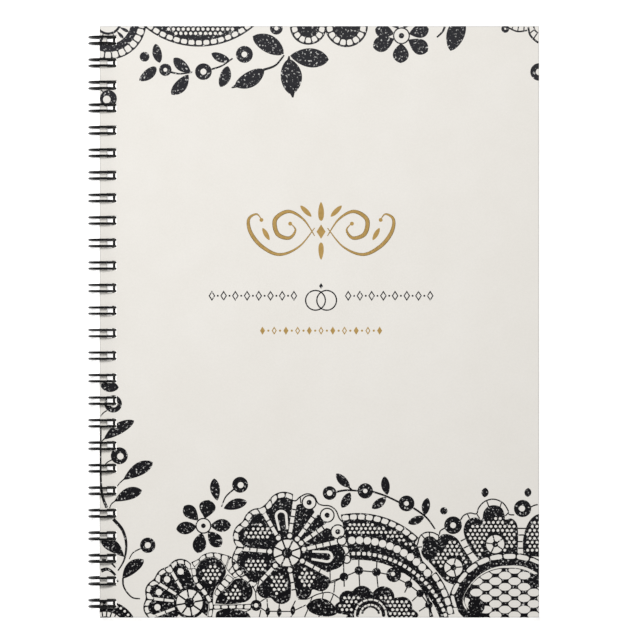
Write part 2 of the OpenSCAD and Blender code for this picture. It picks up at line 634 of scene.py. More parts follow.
# %% [markdown]
# Each blot is a flat filled curve, so holes work as they do in lettering. A mesh could be
# filled face by face instead, but a curve finds the inside by itself. The flat mesh is cut to
# the card and given a thickness, thick enough to catch the light at its edge.

# %% Blots to mesh
INK = 0.03
LAYER, LAYERS = 0.0004, 7  # blots that overlap lie at slightly different heights


def flat_mesh(name):
    """Makes one flat mesh of all the blots."""
    flat = []
    for rings in blots:
        shape = new_line(name + "_blot", flat=True)
        shape.data.fill_mode = "BOTH"
        for outline in rings:
            add_line(shape, outline, closed=True)
        flat.append(shape)
    select_only(*flat)
    bpy.ops.object.convert(target="MESH")
    for k, shape in enumerate(flat):
        shape.location.z = k % LAYERS * LAYER * MM
    bpy.ops.object.transform_apply(location=True, rotation=False, scale=False)
    if len(flat) > 1:
        bpy.ops.object.join()
    return bpy.context.object


def filled_blots(name):
    """Makes one thick piece of all the blots, cut to the card."""
    piece = flat_mesh(name)
    low, high = [[pick(v.co[i] for v in piece.data.vertices) / MM for i in (0, 1)]
                 for pick in (min, max)]
    bpy.ops.object.mode_set(mode="EDIT")
    cut_at_edges(low, high)
    if low[0] < PUNCH_FAR:
        cut_at_holes(piece, low[1], high[1])
    bpy.ops.object.mode_set(mode="OBJECT")
    thick = piece.modifiers.new("thickness", "SOLIDIFY")
    thick.thickness = INK * MM
    thick.offset = 1
    bpy.ops.object.modifier_apply(modifier="thickness")
    return piece


print("ink", INK, "mm thick")

# %% [markdown]
# Threads are round lines pressed flat, which gives them soft sides. Blots and threads of one
# motif are joined to one piece, and it is set a trifle into the card, so that no gap shows
# under it.

# %% Printing a piece
FLATTEN, SINK = 0.09, 0.005
printed = {}


def drawn_threads(name):
    """Makes one mesh of all the threads, pressed flat."""
    lines = new_line(name + "_threads")
    for points, widths in threads:
        for part, part_widths in cut_line(points, widths):
            add_line(lines, part, part_widths)
    lines.data.bevel_depth = 1 * MM
    lines.data.bevel_resolution = 1
    lines.data.use_fill_caps = True
    select_only(lines)
    bpy.ops.object.convert(target="MESH")
    lines = bpy.context.object
    bpy.ops.object.mode_set(mode="EDIT")
    bpy.ops.mesh.select_all(action="SELECT")
    bpy.ops.transform.resize(value=(1, 1, FLATTEN), center_override=(0, 0, 0))
    bpy.ops.object.mode_set(mode="OBJECT")
    return lines


def print_piece(name, ink):
    """Prints the marks drawn so far as one piece on the front cover."""
    parts = []
    if blots:
        parts.append(filled_blots(name))
    if threads:
        lines = drawn_threads(name)
        lines.location.z = INK / 2 * MM
        parts.append(lines)
    select_only(*parts)
    bpy.ops.object.transform_apply(location=True, rotation=False, scale=False)
    if len(parts) > 1:
        bpy.ops.object.join()
    piece = bpy.context.object
    piece.name = name
    piece.data.name = name
    piece.location = (cover_low.x, cover_low.y, COVER_TOP - SINK * MM)
    bpy.ops.object.transform_apply(location=True, rotation=False, scale=False)
    piece.data.materials.clear()
    piece.data.materials.append(ink)
    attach(piece, "front_cover")
    printed[name] = len(piece.data.polygons)
    print(name, len(blots), "blots", len(threads), "threads", printed[name], "faces")
    blots.clear()
    threads.clear()


def print_lace(name):
    print_piece(name, ink_finish)


print("inks", gold_finish.name, "and", ink_finish.name)

# %% [markdown]
# ## Sprigs
# The light parts of the print are sprigs: leaves and berries on thin stems. One leaf could be
# copied along a stem, but a drawn sprig never repeats itself exactly, so each leaf gets its
# own place and size. The top sprig comes first.

# %% Top sprig
dot((16.9, 210.7), 1.85)
for marks in (
        ((22.6, 208.4), (21.0, 215.6), 3.5, 0.5, 0.2),
        ((21.3, 206.8), (14.9, 201.7), 3.8, 0.45, 0.3),
        ((34.2, 204.8), (27.8, 210.2), 4.0, 0.55, 0.3),
        ((33.4, 204.0), (27.0, 196.5), 4.6, 0.55, 0.5),
        ((48.9, 209.2), (42.0, 212.0), 3.3, 0.5, 0.3),
        ((48.2, 207.2), (45.4, 199.3), 4.2, 0.5, 0.4),
        ((69.2, 211.8), (57.5, 218.4), 6.6, 0.5, -0.5),
        ((61.9, 205.9), (50.8, 199.6), 5.9, 0.5, 0.6),
        ((71.6, 211.1), (86.1, 209.6), 7.2, 0.55, 0.0),
        ((71.1, 210.0), (72.2, 196.4), 8.0, 0.5, 0.4)):
    leaf(*marks)
ring((24.7, 205.8), 2.35, 0.75)
ring((39.0, 205.1), 3.15, 1.15)
ring((54.4, 211.6), 3.2, 1.1)
curl([(26.8, 204.9), (30.2, 204.3), (34.9, 204.9)], 0.75, 0.55)
curl([(42.0, 206.0), (45.9, 207.3), (50.0, 210.1)], 0.7, 0.55)
curl([(61.6, 205.8), (66.1, 207.5), (69.3, 211.3)], 0.95, 0.6)
thread([(53.0, 200.6), (49.6, 199.0)], 2.2, 0.5)
thread([(72.1, 199.4), (72.6, 195.4)], 3.4, 0.6)
thread([(71.0, 208.6), (71.2, 211.0)], 1.6, 0.5)
print_lace("sprig_top")

# %% [markdown]
# One berry sits at the spine and is cut by a punched hole. It is a piece of its own, because
# it hangs on no stem that the page shows.

# %% Berry by the spine
ring((3.3, 195.0), 3.2, 1.45, (-0.6, -0.35))
curl([(1.4, 197.4), (0.6, 198.2), (0.2, 199.2)], 0.5, 0.3)
print_lace("berry_spine")

# %% [markdown]
# A vine climbs along the spine. Its long stem swells in the middle as a pen stroke does, so
# it is one smooth thread with a width that changes, and not a row of short ones.

# %% Vine at the left
for marks in (
        ((0.3, 87.2), (7.2, 86.4), 4.1, 0.5, 0.0), ((1.6, 67.0), (13.0, 74.0), 4.2, 0.55, 0.5),
        ((8.8, 51.7), (20.0, 58.4), 4.9, 0.6, 0.4), ((5.4, 43.6), (15.9, 47.9), 4.6, 0.6, 0.6),
        ((9.3, 22.8), (0.6, 29.0), 4.6, 0.6, -0.8), ((8.6, 14.7), (16.6, 21.8), 4.6, 0.55, 0.7)):
    leaf(*marks)
ring((5.1, 80.3), 3.3, 1.45, (0.2, 0.1))
ring((7.4, 60.8), 3.2, 1.25, (0.4, -0.2))
ring((18.1, 27.2), 2.9, 1.15)
for stem in ([(2.9, 77.9), (1.4, 76.9), (0.4, 75.6)], [(4.9, 59.4), (3.0, 58.4), (1.3, 56.6)],
             [(9.2, 52.0), (7.6, 50.6), (6.3, 48.9)], [(5.8, 43.8), (4.4, 42.6), (3.7, 40.9)],
             [(15.5, 26.0), (12.6, 24.4), (11.1, 22.0)], [(1.8, 67.2), (0.9, 66.2), (0.2, 64.6)]):
    curl(stem, 0.5, 0.35)
curl([(0.5, 72.0), (0.4, 54.8), (0.9, 46.6), (2.7, 41.3), (4.8, 37.5), (8.5, 33.1), (10.0, 27.8),
      (9.3, 21.9), (6.9, 17.6)], 0.55, 0.5, swell=1.25)
curl([(8.8, 14.9), (8.9, 12.2), (10.2, 9.6), (12.4, 7.5), (15.2, 7.1)], 0.7, 0.5)
curl([(0.6, 17.6), (3.0, 18.2), (5.6, 16.3), (6.9, 13.4)], 1.5, 0.6)
curl([(0.8, 21.5), (3.4, 21.3), (6.0, 18.8)], 1.2, 0.5)
print_lace("vine_left")

# %% [markdown]
# The small solid flowers are leaf-shaped petals round an open disc with a dot in it. A star
# drawn as one outline would run together at the middle, so each petal is a leaf of its own.

# %% Small flower below
def six_petals(centre, tips, disc, eye):
    """A small solid flower: leaf-shaped petals round an open disc with a dot in it."""
    for angle, reach, width, belly in tips:
        leaf(polar(centre, disc - 0.1, angle), polar(centre, reach, angle), width, belly)
    hoop(centre, disc, 30)
    dot(centre, eye)


six_petals((39.0, 34.5), [(78, 9.9, 6.2, 0.64), (1, 10.4, 4.9, 0.56), (-50, 10.2, 5.0, 0.6),
                          (-102, 10.5, 5.1, 0.58), (187, 10.3, 4.8, 0.54), (134, 10.4, 4.9, 0.62)],
           2.75, 0.9)
leaf((44.2, 43.9), (43.0, 52.3), 3.7, 0.55, 0.2)
leaf((46.6, 41.0), (55.4, 43.6), 4.0, 0.55, 0.3)
ring((52.8, 49.9), 3.0, 1.15, (0.2, -0.1))
curl([(50.4, 48.2), (47.4, 45.4), (45.8, 41.6)], 0.65, 0.4)
print_lace("flower_small")

# %% [markdown]
# A last sprig hangs over the arcs. Its leaves stand in pairs on the stem and are nearly alike,
# so one list and one belly do for all of them.

# %% Sprig over the arcs
for base, tip, width in (
        ((94.0, 48.9), (88.9, 54.1), 3.2), ((94.1, 47.0), (91.0, 41.3), 3.3),
        ((108.1, 46.1), (107.0, 53.1), 3.2), ((107.7, 45.2), (102.3, 41.0), 3.2),
        ((122.2, 38.5), (123.2, 45.0), 3.1), ((122.0, 38.0), (115.9, 35.4), 3.0)):
    leaf(base, tip, width, 0.52, 0.15)
ring((86.4, 46.8), 2.6, 1.05)
ring((99.8, 47.6), 2.9, 0.85)
ring((115.3, 42.9), 3.0, 0.9)
curl([(88.8, 47.2), (91.9, 47.8), (94.7, 47.8), (97.2, 47.6)], 0.8, 0.65)
thread([(93.4, 49.2), (94.8, 47.9)], 0.7)
curl([(102.4, 47.4), (107.5, 45.7), (112.6, 43.3)], 0.75, 0.7)
curl([(117.9, 41.2), (122.7, 37.7), (126.0, 33.3)], 0.8, 0.55)
print_lace("sprig_lower")

# %% [markdown]
# ## The top edge
# The top of the page cuts through a row of larger motifs: a round medallion in the corner, a
# hanging arc of net, two scallops, and a solid flower. They are drawn whole and then cut. Most
# are rimmed by a band with a row of rounded cells. Bars laid across a gap would leave square
# cells, so the band is one blot and the cells are holes in it.

# %% Corner medallion
CORNERS, SQUARE = 12, 0.55  # a cell's corners, and how round it is: 1 is round, 0 is square


def step_at(points, share):
    """How many steps into a line, with a fraction, a share of its length is."""
    spans = [math.dist(a, b) for a, b in zip(points, points[1:])]
    left = share * sum(spans)
    for k, span in enumerate(spans):
        if left <= span and span > 0:
            return k + left / span
        left -= span
    return float(len(spans))


def at_step(points, step):
    """The point that lies so many steps into a line."""
    k = min(int(step), len(points) - 2)
    (x0, y0), (x1, y1) = points[k], points[k + 1]
    return x0 + (x1 - x0) * (step - k), y0 + (y1 - y0) * (step - k)


def cell_band(outer, inner, spacing, bar, line, foot):
    """A solid band between two lines, with a row of rounded cells open in it."""
    middle = [((a[0] + b[0]) / 2, (a[1] + b[1]) / 2) for a, b in zip(outer, inner)]
    count = max(1, round(length_of(middle) / spacing))
    cells = []
    for k in range(count):
        cell = []
        for j in range(CORNERS):
            a = 2 * math.pi * (j + 0.5) / CORNERS
            x = math.copysign(abs(math.cos(a)) ** SQUARE, math.cos(a))
            y = math.copysign(abs(math.sin(a)) ** SQUARE, math.sin(a))
            step = step_at(middle, (k + 0.5 + x * (0.5 - bar / spacing / 2)) / count)
            top, bottom = at_step(outer, step), at_step(inner, step)
            wide = math.dist(top, bottom)
            depth = (line + (wide - line - foot) * (0.5 + 0.5 * y)) / wide
            cell.append((top[0] + (bottom[0] - top[0]) * depth, top[1] + (bottom[1] - top[1]) *
                         depth))
        cells.append(cell)
    blot(outer + inner[::-1], cells)


def stroke(points, width):
    """A thick line with round ends, made as a blot, so that it is cut cleanly at the edge."""
    half = width / 2
    left, right = [], []
    for k, (x, y) in enumerate(points):
        ax, ay = points[max(0, k - 1)]
        bx, by = points[min(len(points) - 1, k + 1)]
        size = math.dist((ax, ay), (bx, by))
        nx, ny = -(by - ay) / size * half, (bx - ax) / size * half
        left.append((x + nx, y + ny))
        right.append((x - nx, y - ny))
    blot(left + right[::-1])
    dot(points[0], half)
    dot(points[-1], half)


corner = (3.2, 224.0)
blot(circle(corner, 11.5, 60), [circle(corner, 8.6, 48)])
cell_band(arc(corner, 14.4, 180, 360), arc(corner, 11.3, 180, 360), 2.7, 0.45, 0.5, 0.1)
stroke(arc(corner, 4.6, 180, 360), 0.9)
for k in range(9):
    a = 186 + 21 * k
    leaf(polar(corner, 4.4, a), polar(corner, 8.6, a), 1.2, 0.7)
print_lace("lace_medallion_top")

# %% [markdown]
# Net is the commonest ground of lace: round openings in staggered rows. Woven threads would
# take many times the faces, so it is a solid blot with small holes. A hole is kept only if it
# lies well inside the outline, so that none breaks the edge.

# %% Net
ROW_RISE = 0.866  # rows of circles that touch lie this share of their spacing apart


def inside(point, outline, margin):
    """True if the point is in the outline, at least a margin from its edge."""
    x, y = point
    odd = False
    for (ax, ay), (bx, by) in zip(outline, outline[1:] + outline[:1]):
        if (ay > y) != (by > y) and x < (bx - ax) * (y - ay) / (by - ay) + ax:
            odd = not odd
        dx, dy = bx - ax, by - ay
        size = dx * dx + dy * dy
        t = 0.0 if size == 0 else max(0.0, min(1.0, ((x - ax) * dx + (y - ay) * dy) / size))
        if math.hypot(x - ax - t * dx, y - ay - t * dy) < margin:
            return False
    return odd


def clear_of(point, outline, margin):
    """True if the point is farther than a margin from every corner of the outline."""
    return all(math.dist(point, q) > margin for q in outline)


def net(outline, spacing=1.72, radius=0.55, margin=1.15, where=None, others=()):
    """Round openings in staggered rows inside an outline, clear of any other holes."""
    us, vs = [p[0] for p in outline], [p[1] for p in outline]
    rise = spacing * ROW_RISE
    openings = []
    for row in range(int(min(vs) / rise), int(max(vs) / rise) + 1):
        for col in range(int(min(us) / spacing) - 1, int(max(us) / spacing) + 2):
            p = ((col + 0.5 * (row % 2)) * spacing, row * rise)
            if not inside(p, outline, margin) or (where and not where(p)):
                continue
            if any(inside(p, hole, 0.0) or not clear_of(p, hole, radius + 0.35)
                   for hole in others):
                continue
            openings.append(circle(p, radius, 8))
    return openings


print("net openings in a disc of 6 mm", len(net(circle((0, 0), 6))))

# %% [markdown]
# The hanging net is one arc of a big circle whose middle lies far above the page. Its straight
# top lies above the page too, and is cut away with the rest.

# %% Hanging net
hang = (37.3, 246.5)
net_edge = arc(hang, 29.5, 215, 325, 3)
net_top = [(net_edge[-1][0], 232.0), (net_edge[0][0], 232.0)]
outline = net_edge + net_top
blot(outline, net(outline, 1.85, 0.64, 0.95))
cell_band(arc(hang, 32.0, 220, 320, 2), arc(hang, 29.3, 220, 320, 2), 2.75, 0.55, 0.6, 0.35)
print_lace("lace_net_top")

# %% [markdown]
# Two scallops hang beside the net. Each is a solid half disc in a band of cells, and the same
# few lines draw both.

# %% Scallops
for centre, outer, inner in (((78.4, 222.1), 6.9, 4.2), ((92.7, 222.4), 8.1, 5.3)):
    blot(circle(centre, inner, 36))
    cell_band(arc(centre, outer, 180, 360), arc(centre, inner - 0.2, 180, 360), 2.5, 0.45, 0.65,
              0.2)
ring((66.4, 221.4), 2.4, 0.8)
print_lace("lace_scallops")

# %% [markdown]
# The top flower is solid like the small one below it, with a fuller petal and one loose leaf.
# The helper for petals draws it with other numbers.

# %% Top flower
six_petals((113.4, 218.6), [(-92, 10.3, 6.0, 0.58), (-31, 11.5, 5.9, 0.62), (14, 10.6, 5.2, 0.6),
                            (70, 10.0, 5.5, 0.6), (115, 10.0, 5.5, 0.6), (166, 10.2, 5.2, 0.6),
                            (203, 11.5, 5.9, 0.62)], 2.95, 1.05)
leaf((136.0, 225.2), (131.8, 212.9), 6.8, 0.45, -0.2)
curl([(130.0, 223.0), (128.9, 220.2), (126.7, 218.0)], 0.9, 0.6)
print_lace("flower_top")

# %% [markdown]
# The right end of the top edge is a short chain of bars between two thin lines, and one berry
# that the page's edge cuts in half. Single threads are enough for so little.

# %% Top corner chain
ring((152.4, 221.2), 1.5, 0.4)
curl([(153.6, 221.6), (157.0, 220.2), (160.6, 220.6)], 0.6)
curl([(161.0, 222.2), (161.6, 219.2), (163.2, 217.2), (165.4, 215.6)], 0.75)
curl([(163.0, 222.3), (163.6, 220.6), (165.2, 219.2)], 0.6)
for a, b in (((154.9, 221.0), (155.3, 222.3)), ((157.1, 220.4), (157.4, 222.3)),
             ((159.4, 220.5), (159.5, 222.3)), ((161.5, 219.4), (163.2, 220.8)),
             ((163.0, 217.4), (164.3, 219.4))):
    thread([a, b], 0.45)
ring((165.1, 205.0), 3.3, 1.25)
print_lace("lace_corner_top")

# %% [markdown]
# ## The large lace flower
# It is worked from the middle: a wheel of eight cells, nine petals parted by ladders of bars,
# and a scalloped line that follows the petals at a small distance. It starts with the table of
# its petals and the wheel. A solid disc with a row of holes makes the wheel's band.

# %% Wheel of the large flower
def wheel(centre, hub, rim_in, rim_out, spokes, turn, holes=()):
    """The middle of a lace flower: a hub, spokes, and a solid band that may have openings."""
    blot(circle(centre, rim_out, 40), [circle(centre, rim_in, 32), *holes])
    dot(centre, hub)
    for k in range(spokes):
        a = turn + 360 * k / spokes
        thread([polar(centre, hub - 0.2, a), polar(centre, rim_in + 0.2, a)], 0.62)


rose = (70.4, 24.3)
GAP = 1.25
# start and end angle, least reach, kind, lobes as angle, distance and radius, and the place
# and half size of the group of net openings
petals = [(-28, 12.4, 12.0, "arch", [(-4, 16.9, 5.2), (-7, 13.0, 6.2)], None),
          (12.4, 34.8, 16.4, "eye", [(22, 15.6, 3.6)], None),
          (34.8, 53.6, 16.6, "eye", [(44, 15.8, 3.4)], None),
          (53.6, 81, 14.0, "eye", [(67, 15.2, 4.6)], None),
          (81, 120, 13.6, "arch", [(94, 16.4, 4.6), (108, 13.6, 4.6)], None),
          (120, 175, 12.6, "net", [(134, 15.2, 3.9), (157, 15.9, 3.7), (168, 13.6, 2.9)],
           ((59.6, 32.0), 4.6, 2.9)),
          (175, 227, 11.2, "net", [(193, 13.7, 5.4), (211, 13.0, 4.6), (183, 13.6, 3.0)],
           ((59.4, 19.8), 5.6, 2.6)),
          (227, 280, 11.6, "net", [(262, 15.4, 4.0), (240, 15.7, 3.5), (250, 12.4, 4.0)],
           ((67.0, 12.6), 3.2, 3.6)),
          (280, 332, 11.0, "net", [(293, 15.4, 3.3), (319, 16.6, 3.6), (306, 12.4, 4.0)],
           ((77.8, 15.2), 3.4, 3.8))]
discs = [circle(polar(rose, 6.5, p[0]), 0.9, 12) for p in petals]
wheel(rose, 2.0, 5.0, 7.9, 8, 20, discs)
print("wheel with", len(discs), "openings in its band")

# %% [markdown]
# A petal's edge is the outside of a group of round lobes. Drawing it point by point would give
# uneven lobes. A ray is turned round the flower's middle instead, and its farthest crossing
# with any lobe is a point of the edge. The dips between the lobes are then rounded off.

# %% Lobed edges
def ray_hit(centre, a, lobe, side=1):
    """How far along a ray from a centre a lobe's far (1) or near (-1) side is, or 0."""
    (u, v), r = lobe
    x = (u - centre[0]) * math.cos(a) + (v - centre[1]) * math.sin(a)
    y = -(u - centre[0]) * math.sin(a) + (v - centre[1]) * math.cos(a)
    return x + side * math.sqrt(r * r - y * y) if r * r > y * y else 0.0


def lobed(centre, lobes, start, end, step=3.0, least=0.0):
    """The outer edge of a group of round lobes, seen from a centre."""
    count = max(1, int(abs(end - start) / step))
    line = []
    for k in range(count + 1):
        a = math.radians(start + (end - start) * k / count)
        reach = max([least] + [ray_hit(centre, a, lobe) for lobe in lobes])
        line.append((centre[0] + reach * math.cos(a), centre[1] + reach * math.sin(a)))
    return line


def petal_lobes(petal):
    """A petal's lobes, each as its middle and its radius."""
    return [(polar(rose, far, a), r) for a, far, r in petal[4]]


def eye_of(petal):
    """Where the open eye outside a petal stands."""
    return polar(rose, 20.7, (petal[0] + petal[1]) / 2 - 1)


def eased(line, times=2):
    """The line with its sharp dips rounded off."""
    for _ in range(times):
        line = [line[0]] + [((a[0] + 2 * b[0] + c[0]) / 4, (a[1] + 2 * b[1] + c[1]) / 4)
                            for a, b, c in zip(line, line[1:], line[2:])] + [line[-1]]
    return line


def clipped(line, centre, radius):
    """The line with every point that falls in a circle moved to the circle's near side."""
    out = []
    for p in line:
        if math.dist(p, centre) < radius:
            a = math.atan2(p[1] - rose[1], p[0] - rose[0])
            r = ray_hit(rose, a, (centre, radius), -1)
            p = (rose[0] + r * math.cos(a), rose[1] + r * math.sin(a))
        out.append(p)
    return out


print("points on a petal's edge", len(lobed(rose, petal_lobes(petals[5]), 120, 175, 1.5)))

# %% [markdown]
# Ladders part the petals: short bars across a gap. The bars are spaced by the length of the
# gap's side, so they stay even whatever the gap's shape is.

# %% Ladders
def along(points, share):
    """The point at a share, from 0 to 1, of a line's length."""
    return at_step(points, step_at(points, share))


def bars(path_a, path_b, spacing, width):
    """Short bars between two lines that run side by side."""
    count = max(1, round(length_of(path_a) / spacing))
    for k in range(1, count):
        thread([along(path_a, k / count), along(path_b, k / count)], width)


def seam(centre, angle, inner, outer, gap, spacing=2.9, width=0.5):
    """A ladder of bars across the gap that runs out from a flower's middle."""
    left, right = [], []
    for r in (inner, outer):
        turn = math.degrees((gap / 2 + 0.12) / r)
        left.append(polar(centre, r, angle + turn))
        right.append(polar(centre, r, angle - turn))
    bars(left, right, spacing, width)


print("the point halfway along a bent line", along([(0, 0), (4, 0), (4, 2)], 0.5))

# %% [markdown]
# The petals take turns with net, an arch, or an open eye. All three start from the same edge,
# so one loop draws them, and the kind only decides about the holes.

# %% Petals of the large flower
def arch(centre, angle, near, far, wide, line):
    """A U-shaped opening that stands in a petal with its open end to the flower's middle."""
    a = math.radians(angle)

    def turned(points):
        return [(centre[0] + x * math.cos(a) - y * math.sin(a),
                 centre[1] + x * math.sin(a) + y * math.cos(a)) for x, y in points]

    outer_r, inner_r = wide / 2, wide / 2 - line
    head = far - outer_r

    def side(r, foot, way):
        """One line of the U: a straight leg, a half circle, and the other leg."""
        bow = [(head + r * math.sin(math.pi * k / 12), way * r * math.cos(math.pi * k / 12))
               for k in range(13)]
        return [(near, way * r * foot), *bow, (near, -way * r * foot)]

    return turned(side(outer_r, 0.8, 1) + side(inner_r, 0.75, -1))


EDGE_R, DISC_R = 15, 7.6  # where the gap between petals is measured
for petal in petals:
    start, end, least, kind, lobes, group = petal
    side = math.degrees(GAP / 2 / EDGE_R)
    edge = eased(lobed(rose, petal_lobes(petal), start + side, end - side, 1.5, least))
    if kind == "eye":
        eye = eye_of(petal)
        edge = clipped(edge, eye, 2.5)
        dot(eye, 1.0)
    inset = math.degrees(GAP / 2 / DISC_R)
    edge += arc(rose, DISC_R, end - inset, start + inset, 6)
    holes = []
    if kind == "net":
        (u, v), wide, tall = group
        holes = net(edge, 1.75, 0.56, 1.2, lambda p: math.hypot((p[0] - u) / wide,
                                                                (p[1] - v) / tall) < 1)
    elif kind == "arch":
        holes = [arch(rose, -5.4, 9.4, 17.4, 4.6, 0.95) if start < 0
                 else arch(rose, 99, 8.8, 16.4, 4.8, 0.95)]
    blot(edge, holes)
    seam(rose, start, 8.6, 19.2 if 12 < start < 82 else 16.8, GAP)
print("petals", len(petals))

# %% [markdown]
# The scalloped rim follows the lobes of the left petals at two millimetres. Growing each lobe
# and taking the edge again keeps that distance, where scaling the petals would not. At the
# right the rim is a thin line that runs round the eyes.

# %% Edge of the large flower
left_lobes = [lobe for petal in petals[4:7] for lobe in petal_lobes(petal)]
grown = [(c, r + 2.1) for c, r in left_lobes]
shrunk = [(c, r - 0.1) for c, r in left_lobes]
cell_band(eased(lobed(rose, grown, 84, 226, 1.5, 17.0), 3),
          eased(lobed(rose, shrunk, 84, 226, 1.5, 15.0), 2),
          3.0, 0.5, 0.45, 0.1)
curl([(71.6, 44.4), (73.6, 43.9), (75.4, 45.4), (78.0, 46.5), (80.6, 45.6), (82.0, 43.0),
      (83.8, 42.2), (86.6, 41.9), (88.8, 40.2), (90.0, 37.4), (91.4, 35.8)], 0.5)
for petal in petals[1:4]:
    hoop(eye_of(petal), 2.6, 24)
thread([(75.4, 45.2), (75.6, 43.0)], 0.45)
for centre, r in (((91.0, 28.9), 1.7), ((92.1, 25.3), 1.6), ((92.8, 21.9), 1.5)):
    hoop(centre, r, 20)
print_lace("lace_flower_large")

# %% [markdown]
# The flower at the lower left is built in the same way as the large one, with one round lobe
# and one eye in each petal. Only its upper part is drawn, because the page cuts it in two.

# %% Flower at the lower left
aster = (33.8, 5.6)
# start and end angle, and the angle, distance and radius of the lobe
aster_petals = [(92, 119.9, 106, 12.2, 3.0), (119.9, 148, 134, 11.8, 3.0),
                (148, 173.6, 161, 12.8, 2.8), (173.6, 201, 188, 12.8, 2.9),
                (201, 232, 216, 12.4, 2.9)]
wheel(aster, 1.9, 4.9, 6.0, 8, 10)
strip = smooth([polar(aster, 12.4, 92), polar(aster, 9.4, 83), polar(aster, 7.1, 72),
                polar(aster, 6.3, 52), polar(aster, 6.3, 21), polar(aster, 7.2, -8),
                polar(aster, 8.3, -38)])
blot(strip + arc(aster, 5.7, -38, 92, 6))
half_gap = math.degrees(0.5 / 12)
for start, end, angle, far, r in aster_petals:
    gap = half_gap if start > 92 else 0.0  # nothing parts the first petal from the strip
    edge = eased(lobed(aster, [(polar(aster, far, angle), r)], start + gap, end - half_gap,
                       1.5, 11.2))
    edge += arc(aster, 5.7, end - half_gap * 1.9, start + gap * 1.9, 6)
    blot(edge, [circle(polar(aster, 12.2, angle), 1.2, 14)])
    if gap:
        seam(aster, start, 6.8, 12.6, 1.0, 2.7, 0.45)
rim = [(polar(aster, far, angle), r) for start, end, angle, far, r in aster_petals]
grown = [(c, r + 1.9) for c, r in rim]
shrunk = [(c, r - 0.1) for c, r in rim]
cell_band(eased(lobed(aster, grown, 88, 232, 1.5, 14.5), 8),
          eased(lobed(aster, shrunk, 88, 232, 1.5, 12.4), 6),
          2.9, 0.5, 0.5, 0.15)
print_lace("lace_flower_left")

# %% [markdown]
# Between the flowers lie two drops of net, bands of cells that wind round them, and a few
# small leaves tied by threads. Ladders run wild here in real lace, so each line gets its own
# points, and the helpers fill the space between them.

# %% Drops between the flowers
for outline, group in (
        ([(42.6, 5.4), (41.0, 8.8), (38.8, 11.6), (36.9, 14.4), (36.2, 17.4), (37.4, 20.4),
          (39.6, 22.0), (42.2, 22.6), (44.8, 21.8), (46.8, 19.6), (47.5, 17.0), (46.2, 14.2),
          (44.0, 11.8), (42.9, 9.4), (42.6, 5.4)], (41.8, 16.4)),
        ([(43.4, 5.3), (44.2, 7.8), (46.2, 9.8), (48.8, 12.2), (50.8, 14.4), (53.4, 14.6),
          (56.0, 13.2), (57.4, 10.8), (57.2, 8.2), (55.4, 6.2), (52.0, 5.3), (47.6, 5.0),
          (43.4, 5.3)], (50.2, 9.3))):
    outline = smooth(outline, 4)[:-1]
    blot(outline, net(outline, 1.7, 0.56, 1.3, lambda p: math.dist(p, group) < 3.3))
blot(smooth([(43.6, -1.0), (44.0, 2.0), (47.0, 3.2), (51.5, 3.1), (55.6, 1.8), (57.2, -1.0)]))
for outer, inner, spacing in (
        ([(34.4, 20.8), (36.8, 21.9), (38.8, 23.6), (41.6, 24.5), (44.6, 24.3), (47.4, 23.6),
          (48.8, 23.2)],
         [(35.6, 18.8), (37.2, 20.4), (39.4, 22.0), (42.2, 22.7), (44.8, 21.9), (46.6, 20.2),
          (47.3, 18.6)], 2.9),
        ([(36.3, 18.6), (36.7, 15.4), (37.6, 13.2), (39.2, 11.4), (41.2, 8.6), (42.8, 4.8),
          (42.3, 0.2)],
         [(34.4, 18.6), (34.9, 15.0), (36.0, 12.4), (37.6, 10.2), (39.7, 7.6), (41.1, 4.4),
          (40.5, 0.2)], 2.9),
        ([(43.0, 8.9), (44.2, 11.8), (46.2, 14.2), (48.0, 16.4)],
         [(44.3, 7.9), (46.2, 9.9), (48.6, 12.2), (50.6, 14.6)], 2.5),
        ([(48.9, 23.2), (52.0, 20.6), (54.0, 16.4)], [(47.5, 18.4), (48.6, 17.0), (50.8, 14.7)],
         2.6)):
    cell_band(smooth(outer), smooth(inner), spacing, 0.5, 0.3, 0.2)
cell_band([(42.6, 4.9), (50.0, 4.9), (57.2, 5.2)], [(42.8, 3.0), (50.0, 3.2), (56.8, 3.0)],
          2.7, 0.5, 0.3, 0.3)
ring((58.8, 4.6), 2.1, 0.85)
for centre, tall in (((63.1, 2.3), 1.6), ((67.4, 2.0), 1.6), ((72.5, 2.7), 1.8)):
    leaf((centre[0], centre[1] - tall), (centre[0] + 0.2, centre[1] + tall), 1.8)
print("drops", len(blots), "blots")

# %% [markdown]
# Thin threads tie the small leaves to each other and to the page's foot. They carry no shape
# of their own, so they are a plain list of points.

# %% Threads below the drops
for stem in ([(60.6, 3.6), (62.4, 2.4), (72.4, 2.3), (77.6, 4.8)], [(58.8, 6.6), (58.6, 9.4)],
             [(57.0, 3.2), (54.4, 2.0)], [(60.4, 6.0), (63.0, 7.6)], [(63.1, 3.8), (62.9, 7.0)],
             [(67.4, 3.4), (67.6, 6.0)], [(72.5, 4.2), (73.6, 6.4)], [(63.1, 0.9), (63.0, 0.2)],
             [(67.4, 0.6), (67.4, 0.2)], [(72.4, 1.0), (71.8, 0.2)], [(60.0, 0.2), (60.6, 2.9)],
             [(77.0, 0.2), (78.4, 3.4)], [(82.4, 0.2), (82.6, 2.0)], [(86.0, 0.2), (86.6, 2.6)],
             [(57.4, 12.0), (58.8, 9.2)], [(60.0, 14.4), (58.8, 9.4)]):
    thread(stem, 0.42)
leaf((77.6, 4.4), (89.4, 1.8), 6.6, 0.48, 0.8)
curl([(74.6, 7.0), (78.0, 7.0), (82.0, 8.8), (86.6, 9.4), (90.6, 6.8)], 0.42)
curl([(84.8, 12.8), (87.4, 13.2), (90.4, 14.6)], 0.42)
